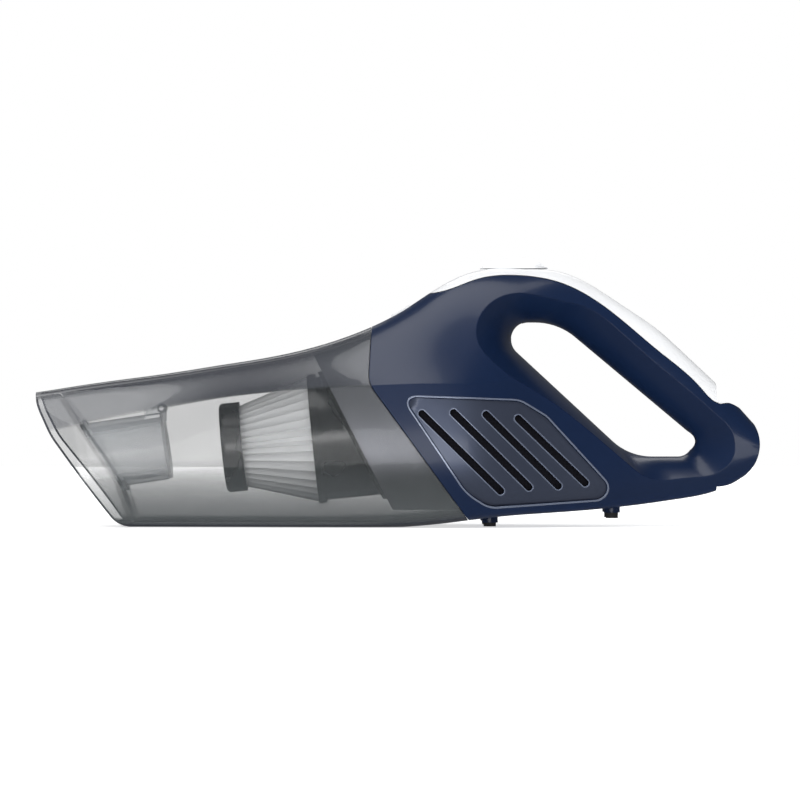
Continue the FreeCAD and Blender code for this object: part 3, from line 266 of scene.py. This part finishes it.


# Dust bowl: one clear smoky shell of polycarbonate. It is nearly invisible square on and darker at its edges.
# Its roof above the crease carries painted shade, a bluer and more opaque tint than its sides, and faces turned
# up or down are darkened with painted shade. It also grows darker and more opaque towards the bottom.
smoky, tree, shader = finish_of("smoky_bowl", IOR=1.5)
place = place_in(tree)
along = node(tree, "ShaderNodeSeparateXYZ", {}, place, out=0)
height = node(tree, "ShaderNodeSeparateXYZ", {}, place, out=2)
crease = 0.0515 + (along + 0.181) * 0.18842 + (along + 0.181) * (along + 0.086) * -0.6958
# painted shade: the roof above the crease is made bluer and more opaque, so it reads darker
roof_shade = node(tree, "ShaderNodeMapRange", {"clamp": True}, height - crease, -0.0006, 0.0012, 0.0, 1.0)
edge = node(tree, "ShaderNodeLayerWeight", {}, 0.35, out=1)
haze = noise(tree, place, 40.0, 3.0)
turned = node(tree, "ShaderNodeTexCoord", {}, out=1)
facing = node(tree, "ShaderNodeSeparateXYZ", {}, turned, out=2)
# painted shade: faces turned up or down get a dark colour and more opacity
flat_face_shade = node(tree, "ShaderNodeMapRange", {}, node(tree, "ShaderNodeMath", {"operation": "ABSOLUTE"}, facing),
             0.74, 0.90, 0.0, 1.0)
cut_end = node(tree, "ShaderNodeVectorMath", {"operation": "DOT_PRODUCT"}, turned, (-0.824, 0.0, -0.566), out=1)
lip_end = node(tree, "ShaderNodeMapRange", {}, cut_end, 0.90, 0.97, 0.0, 0.6)
heel = node(tree, "ShaderNodeMapRange", {}, height, 0.036, 0.008, 0.0, 1.0)
tint = mixed(tree, roof_shade, (0.105, 0.115, 0.120, 1.0), (0.110, 0.118, 0.135, 1.0))
feed(tree, shader,
     Base_Color=mixed(tree, flat_face_shade, tint, (0.030, 0.033, 0.043, 1.0)),
     Roughness=haze * 0.05 + 0.04,
     Alpha=edge * 0.34 + roof_shade * 0.15 + flat_face_shade * 0.42 + heel * 0.34 + lip_end + haze * 0.03 + 0.13,
     Normal=bump(tree, noise(tree, place, 260.0, 2.0), 0.00002, 0.2))
dress(smoky, "dust_bowl")

# Mouth trim: the cut end of the bowl's wall, as a thin dark rim round the slanted mouth.
mouth_dark, tree, shader = finish_of("mouth_edge", IOR=1.5, Roughness=0.15)
haze = noise(tree, place_in(tree), 80.0, 3.0)
feed(tree, shader, Base_Color=mixed(tree, haze, (0.030, 0.033, 0.042, 1.0), (0.045, 0.050, 0.060, 1.0)),
     Roughness=haze * 0.1 + 0.12)

edge_trim = bpy.data.objects.new("mouth_trim", nodes["dust_bowl"].data.copy())
bpy.context.scene.collection.objects.link(edge_trim)
bpy.ops.object.select_all(action="DESELECT")
edge_trim.select_set(True)
bpy.context.view_layer.objects.active = edge_trim
bpy.ops.object.mode_set(mode="EDIT")
bpy.ops.mesh.select_all(action="SELECT")
bpy.ops.mesh.remove_doubles(threshold=0.00001)
bpy.ops.mesh.select_mode(type="FACE")
bpy.ops.mesh.select_all(action="DESELECT")
bpy.ops.object.mode_set(mode="OBJECT")
forward = Vector((-0.824, 0.0, -0.566))
foremost = max(point.co.dot(forward) for point in edge_trim.data.vertices)
squareness, mouth_depth = 0.90, 0.009
for face in edge_trim.data.polygons:
    face.select = face.normal.dot(forward) < squareness or face.center.dot(forward) < foremost - mouth_depth
bpy.ops.object.mode_set(mode="EDIT")
bpy.ops.mesh.delete(type="FACE")
bpy.ops.object.mode_set(mode="OBJECT")
trim_solid = edge_trim.modifiers.new("wall", "SOLIDIFY")
trim_solid.thickness, trim_solid.offset = 0.0009, -1.0
bpy.ops.object.modifier_apply(modifier="wall")
dress(mouth_dark, edge_trim)
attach(edge_trim, "bowl")


# Intake duct: the clear round tube behind the mouth, paler than the bowl around it. Its pale colour is partly clear
# plastic and partly a painted highlight along the tube.
duct_clear_and_highlight, tree, shader = finish_of("clear_duct", IOR=1.5)
place = place_in(tree)
edge = node(tree, "ShaderNodeLayerWeight", {}, 0.4, out=1)
haze = noise(tree, place, 60.0, 3.0)
# pale base colour: clear plastic plus a painted highlight along the tube
feed(tree, shader,
     Base_Color=mixed(tree, haze, (0.62, 0.65, 0.68, 1.0), (0.72, 0.75, 0.78, 1.0)),
     Roughness=haze * 0.1 + 0.10, Alpha=edge * 0.6 + haze * 0.05 + 0.16,
     Normal=bump(tree, noise(tree, place, 300.0, 2.0), 0.00002, 0.2))
dress(duct_clear_and_highlight, "intake_duct")


# Filter: pleated white paper on a grey basket, between a dark cap and a dark drum, carried by
# a slanted satin-grey collar that closes the rear of the bowl.
paper_white, tree, shader = finish_of("filter_paper", Sheen_Weight=0.3, Sheen_Roughness=0.5)
place = place_in(tree)
fibres = noise(tree, place, 1800.0, 5.0)
dust = noise(tree, place, 35.0, 4.0)
feed(tree, shader,
     Base_Color=mixed(tree, dust * 0.6, (0.95, 0.955, 0.96, 1.0), (0.86, 0.87, 0.88, 1.0)),
     Roughness=fibres * 0.15 + 0.75, Normal=bump(tree, fibres, 0.00006, 0.6))
dress(paper_white, "filter_pleats")

black, tree, shader = finish_of("black_plastic", IOR=1.5, Specular_IOR_Level=1.0)
place = place_in(tree)
grain = noise(tree, place, 1400.0, 3.0)
patches = noise(tree, place, 28.0, 3.0)
feed(tree, shader,
     Base_Color=mixed(tree, patches, (0.010, 0.010, 0.011, 1.0), (0.018, 0.018, 0.020, 1.0)),
     Roughness=patches * 0.10 + 0.22, Normal=bump(tree, grain, 0.00001, 0.12))
dress(black, "filter_cap", "filter_base", "front_bulkhead", "fan_housing", "motor_end_bell", "motor_cradle",
      "battery_holder", "switch_module", "charge_jack", "latch_lever")

satin, tree, shader = finish_of("satin_grey", IOR=1.5)
place = place_in(tree)
patches = noise(tree, place, 25.0, 3.0)
flakes = noise(tree, place, 1500.0, 2.0)
feed(tree, shader,
     Base_Color=mixed(tree, patches, (0.150, 0.153, 0.170, 1.0), (0.180, 0.183, 0.205, 1.0)),
     Roughness=patches * 0.06 + 0.26, Metallic=flakes * 0.15 + 0.80, Normal=bump(tree, flakes, 0.00001, 0.12))
dress(satin, "filter_frame", "filter_core", "impeller")


# Rubber pieces: feet and seals, dull black with a fine moulded grain.
rubber, tree, shader = finish_of("black_rubber", IOR=1.48)
place = place_in(tree)
grain = noise(tree, place, 1600.0, 4.0)
feed(tree, shader,
     Base_Color=mixed(tree, grain, (0.012, 0.012, 0.013, 1.0), (0.022, 0.022, 0.023, 1.0)),
     Roughness=grain * 0.15 + 0.6, Normal=bump(tree, grain, 0.00005, 0.6))
dress(rubber, "foot_front_left", "foot_front_right", "foot_rear_left", "foot_rear_right", "body_seal",
      "filter_seal")
# Flap: translucent silicone at the rear end of the duct.
soft_flap, tree, shader = finish_of("flap_silicone", IOR=1.42)
place = place_in(tree)
grain = noise(tree, place, 500.0, 3.0)
feed(tree, shader,
     Base_Color=mixed(tree, grain, (0.42, 0.44, 0.46, 1.0), (0.50, 0.52, 0.54, 1.0)),
     Roughness=grain * 0.1 + 0.45, Alpha=grain * 0.05 + 0.45)
dress(soft_flap, "inlet_flap")


# Exhaust mesh: a fine black woven cloth behind the slots, seen as a square weave.
weave_black, tree, shader = finish_of("woven_mesh", IOR=1.45, Specular_IOR_Level=0.08)
place = place_in(tree)
warp = node(tree, "ShaderNodeTexWave", {"bands_direction": "X", "wave_profile": "SIN"}, Vector=place, Scale=420.0)
weft = node(tree, "ShaderNodeTexWave", {"bands_direction": "Z", "wave_profile": "SIN"}, Vector=place, Scale=420.0)
threads = node(tree, "ShaderNodeMath", {"operation": "MAXIMUM"}, warp, weft)
feed(tree, shader,
     Base_Color=mixed(tree, threads, (0.001, 0.001, 0.001, 1.0), (0.010, 0.010, 0.014, 1.0)),
     Roughness=threads * 0.2 + 0.65, Normal=bump(tree, threads, 0.0002, 0.8))
dress(weave_black, "vent_mesh_left", "vent_mesh_right")


# Exhaust grille: a narrow lip moulded round each slanted slot, and a wider one round the sunken panel.
# Both follow the curve of the housing and stand a third of a millimetre proud of it. The lips are coloured a
# much lighter navy than the housing, a painted highlight along their edges.
def pick(thing, chosen):
    """Opens a piece for editing with only the points that pass the test selected."""
    bpy.ops.object.mode_set(mode="EDIT")
    bpy.ops.mesh.select_mode(type="VERT")
    bpy.ops.mesh.select_all(action="DESELECT")
    bpy.ops.object.mode_set(mode="OBJECT")
    for point in thing.data.vertices:
        point.select = chosen(point.co)
    bpy.ops.object.mode_set(mode="EDIT")


def finish_with(thing, kind, **settings):
    """Adds one modifier, sets it up and applies it."""
    modifier = thing.modifiers.new(kind, kind)
    for key, value in settings.items():
        setattr(modifier, key, value)
    bpy.context.view_layer.objects.active = thing
    bpy.ops.object.modifier_apply(modifier=modifier.name)


def press_on_housing(thing, side):
    """Drops each point of a flat piece straight on to the housing half of its side."""
    finish_with(thing, "SHRINKWRAP", target=nodes["housing_left" if side < 0 else "housing_right"],
                wrap_method="PROJECT", use_project_x=False, use_project_y=True, use_project_z=False,
                use_positive_direction=side < 0, use_negative_direction=side > 0)


def lay_on_housing(lip, side, thickness):
    """Presses a flat ring on to the housing half of its side and gives it a rounded thickness."""
    widest = abs(cad_box[0][1])
    press_on_housing(lip, side)
    finish_with(lip, "SOLIDIFY", thickness=thickness, offset=0.0)
    finish_with(lip, "BEVEL", width=thickness * 0.22, segments=2, limit_method="ANGLE")
    for point in lip.data.vertices:
        point.co.y = max(-widest, min(widest, point.co.y))
    lip.select_set(True)
    bpy.ops.object.shade_smooth_by_angle(angle=math.radians(50.0))


# painted highlight: the lips are a much lighter navy than the housing so their edges read as lit
lip_painted_highlight, tree, shader = finish_of("lip_painted_highlight", Coat_Roughness=0.05, IOR=1.5)
place = place_in(tree)
patches = noise(tree, place, 60.0, 3.0)
feed(tree, shader,
     Base_Color=mixed(tree, patches, (0.16, 0.19, 0.27, 1.0), (0.20, 0.23, 0.31, 1.0)),
     Roughness=patches * 0.08 + 0.22, Metallic=patches * 0.1 + 0.35, Coat_Weight=patches * 0.1 + 0.4,
     Normal=bump(tree, noise(tree, place, 900.0, 2.0), 0.00002, 0.3))

# Grille panel: a satin navy insert, coloured lighter than the housing partly for its satin finish and partly as a
# painted highlight across it.
panel_satin_and_highlight, tree, shader = finish_of("panel_navy_satin_and_highlight", Coat_Roughness=0.12, IOR=1.5)
place = place_in(tree)
patches = noise(tree, place, 50.0, 3.0)
feed(tree, shader,
     Base_Color=mixed(tree, patches, (0.066, 0.080, 0.125, 1.0), (0.082, 0.098, 0.148, 1.0)),
     Roughness=patches * 0.06 + 0.33, Metallic=patches * 0.1 + 0.62, Coat_Weight=patches * 0.1 + 0.2,
     Normal=bump(tree, noise(tree, place, 900.0, 2.0), 0.00001, 0.15))

slot_half, rim_gap, rim_width, rim_height = 0.00185, 0.00006, 0.00062, 0.0007
slots = [((0.0126, 0.0598), (0.0538, 0.0193)), ((0.0292, 0.0603), (0.0688, 0.0212)),
         ((0.0462, 0.0593), (0.0844, 0.0217)), ((0.0632, 0.0572), (0.0989, 0.0232))]
for side in (-1, 1):
    for number, (upper, lower) in enumerate(slots):
        start = Vector((upper[0], side * 0.06, upper[1]))
        run = Vector((lower[0] - upper[0], 0.0, lower[1] - upper[1]))
        bpy.ops.object.select_all(action="DESELECT")
        bpy.ops.mesh.primitive_circle_add(vertices=40, radius=slot_half + rim_gap + rim_width, fill_type="NGON",
                                          location=start, rotation=(math.radians(90.0), 0.0, 0.0))
        lip = bpy.context.object
        lip.name = "slot_lip_%s_%d" % ("left" if side < 0 else "right", number + 1)
        bpy.ops.object.transform_apply(location=True, rotation=True, scale=True)
        pick(lip, lambda co: (co - start).dot(run) > 0.0)
        bpy.ops.transform.translate(value=run)
        bpy.ops.mesh.select_all(action="SELECT")
        bpy.ops.mesh.inset(thickness=rim_width)
        bpy.ops.mesh.delete(type="FACE")
        for step in range(1, 12):
            bpy.ops.mesh.select_all(action="SELECT")
            bpy.ops.mesh.bisect(plane_co=start + run * (step / 12.0), plane_no=run.normalized())
        bpy.ops.object.mode_set(mode="OBJECT")
        lay_on_housing(lip, side, rim_height)
        dress(lip_painted_highlight, lip)
        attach(lip, "housing")

corners = [(0.0026, 0.0686), (0.0640, 0.0664), (0.0780, 0.0580), (0.1140, 0.0190), (0.1060, 0.0145),
           (0.0480, 0.0109), (0.0360, 0.0186)]
rounding = [0.004, 0.012, 0.012, 0.006, 0.006, 0.012, 0.024]
lip_width, lip_gap, lip_height = 0.0009, 0.00015, 0.0008
screw_pockets = [(0.1040, 0.0196), (0.0645, 0.0145)]
pocket_radius = 0.0036
beside = 0.065  # how far out of the middle a flat outline starts, clear of the housing


def panel_outline(name, side, margin):
    """A flat face with the panel's rounded outline, grown by a margin, beside the housing half."""
    bpy.ops.object.select_all(action="DESELECT")
    bpy.ops.mesh.primitive_circle_add(vertices=7, radius=0.05, fill_type="NGON", location=(0.06, side * beside, 0.04),
                                      rotation=(math.radians(90.0), 0.0, 0.0))
    made = bpy.context.object
    made.name = "%s_%s" % (name, "left" if side < 0 else "right")
    bpy.ops.object.transform_apply(location=True, rotation=True, scale=True)
    for index in range(7):
        here = Vector(corners[index])
        along = (here - Vector(corners[index - 1])).normalized()
        onward = (Vector(corners[(index + 1) % 7]) - here).normalized()
        out = Vector((-along.y - onward.y, along.x + onward.x)) / (1.0 + along.dot(onward))
        here = here + out * margin
        made.data.vertices[index].co = (here.x, side * beside, here.y)
    places = [point.co.copy() for point in made.data.vertices]
    for index, radius in enumerate(rounding):
        opening = (places[index - 1] - places[index]).angle(places[(index + 1) % 7] - places[index])
        pick(made, lambda co: (co - places[index]).length < 1e-6)
        bpy.ops.mesh.bevel(offset=(radius + margin) / math.tan(opening / 2.0), offset_type="OFFSET", segments=9,
                           profile=0.5, affect="VERTICES", clamp_overlap=True)
        bpy.ops.object.mode_set(mode="OBJECT")
    return made


for side in (-1, 1):
    lip = panel_outline("panel_lip", side, lip_width + lip_gap)
    pick(lip, lambda co: True)
    bpy.ops.mesh.inset(thickness=lip_width)
    bpy.ops.mesh.delete(type="FACE")
    for cut in [0.0055 * step for step in range(1, 22)] + [0.0604, 0.0686]:
        bpy.ops.mesh.select_all(action="SELECT")
        bpy.ops.mesh.bisect(plane_co=(cut, 0.0, 0.0), plane_no=(1.0, 0.0, 0.0))
    bpy.ops.object.mode_set(mode="OBJECT")
    if side > 0:
        pick(lip, lambda co: 0.0606 < co.x < 0.0684 and co.z < 0.03)
        bpy.ops.mesh.delete(type="VERT")
        bpy.ops.object.mode_set(mode="OBJECT")
    lay_on_housing(lip, side, lip_height)
    dress(lip_painted_highlight, lip)
    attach(lip, "housing")

    panel = panel_outline("grille_panel", side, -0.0003)
    pick(panel, lambda co: True)
    bpy.ops.mesh.extrude_region_move(TRANSFORM_OT_translate={"value": (0.0, side * 0.0003, 0.0)})
    bpy.ops.mesh.select_all(action="SELECT")
    bpy.ops.mesh.normals_make_consistent(inside=False)
    bpy.ops.object.mode_set(mode="OBJECT")
    openings = [(upper, lower, slot_half + 0.0004) for upper, lower in slots]
    if side > 0:
        openings += [((x, z), (x + 0.00001, z), pocket_radius) for x, z in screw_pockets]
    for upper, lower, half in openings:
        run = Vector((lower[0] - upper[0], 0.0, lower[1] - upper[1]))
        bpy.ops.object.select_all(action="DESELECT")
        bpy.ops.mesh.primitive_circle_add(vertices=32, radius=half, fill_type="NGON",
                                          location=(upper[0], side * 0.066, upper[1]),
                                          rotation=(math.radians(90.0), 0.0, 0.0))
        punch = bpy.context.object
        bpy.ops.object.transform_apply(location=True, rotation=True, scale=True)
        start = Vector((upper[0], side * 0.066, upper[1]))
        pick(punch, lambda co: (co - start).dot(run) > 0.0)
        bpy.ops.transform.translate(value=run)
        bpy.ops.mesh.select_all(action="SELECT")
        bpy.ops.mesh.extrude_region_move(TRANSFORM_OT_translate={"value": (0.0, -side * 0.002, 0.0)})
        bpy.ops.mesh.select_all(action="SELECT")
        bpy.ops.mesh.normals_make_consistent(inside=False)
        bpy.ops.object.mode_set(mode="OBJECT")
        finish_with(panel, "BOOLEAN", operation="DIFFERENCE", object=punch, solver="EXACT")
        bpy.data.objects.remove(punch)
    pick(panel, lambda co: abs(co.y - side * 0.065) > 0.0001)
    bpy.ops.mesh.delete(type="VERT")
    for spacing, count, across in ((0.00275, 44, Vector((1.0, 0.0, 0.0))), (0.003, 24, Vector((0.0, 0.0, 1.0)))):
        for step in range(1, count):
            bpy.ops.mesh.select_all(action="SELECT")
            bpy.ops.mesh.bisect(plane_co=across * (spacing * step), plane_no=across)
    bpy.ops.object.mode_set(mode="OBJECT")
    press_on_housing(panel, side)
    finish_with(panel, "SOLIDIFY", thickness=0.0004, offset=0.0)
    panel.select_set(True)
    bpy.ops.object.shade_smooth_by_angle(angle=math.radians(40.0))
    dress(panel_satin_and_highlight, panel)
    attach(panel, "housing")


# Metal and electrical pieces inside the housing: turned steel, wrapped cells and a green board.
steel, tree, shader = finish_of("turned_steel", Metallic=1.0)
place = place_in(tree)
scratches = noise(tree, place, 800.0, 4.0)
feed(tree, shader,
     Base_Color=mixed(tree, scratches, (0.45, 0.45, 0.46, 1.0), (0.60, 0.60, 0.61, 1.0)),
     Roughness=scratches * 0.15 + 0.25, Normal=bump(tree, scratches, 0.00003, 0.4))
dress(steel, "motor_can", "motor_shaft", "latch_pin", "flap_pin", "release_spring",
      *["housing_screw_%d" % (k + 1) for k in range(5)])

copper, tree, shader = finish_of("copper_winding", Metallic=0.9)
place = place_in(tree)
wires = node(tree, "ShaderNodeTexWave", {"bands_direction": "X", "wave_profile": "SIN"}, Vector=place, Scale=300.0)
feed(tree, shader, Base_Color=mixed(tree, wires, (0.30, 0.12, 0.05, 1.0), (0.62, 0.30, 0.14, 1.0)),
     Roughness=wires * 0.1 + 0.3, Normal=bump(tree, wires, 0.0002, 0.6))
dress(copper, "armature")

wrap, tree, shader = finish_of("cell_wrap", Coat_Roughness=0.1)
place = place_in(tree)
patches = noise(tree, place, 60.0, 3.0)
feed(tree, shader, Base_Color=mixed(tree, patches, (0.03, 0.14, 0.30, 1.0), (0.04, 0.18, 0.36, 1.0)),
     Roughness=patches * 0.1 + 0.3, Coat_Weight=patches * 0.2 + 0.4)
dress(wrap, "battery_cell_1", "battery_cell_2")

board, tree, shader = finish_of("board_green", IOR=1.5)
place = place_in(tree)
tracks = node(tree, "ShaderNodeTexVoronoi", {"feature": "DISTANCE_TO_EDGE"}, Vector=place, Scale=350.0)
feed(tree, shader, Base_Color=mixed(tree, tracks * 4.0, (0.02, 0.16, 0.07, 1.0), (0.01, 0.07, 0.03, 1.0)),
     Roughness=tracks * 0.2 + 0.35)
dress(board, "circuit_board")
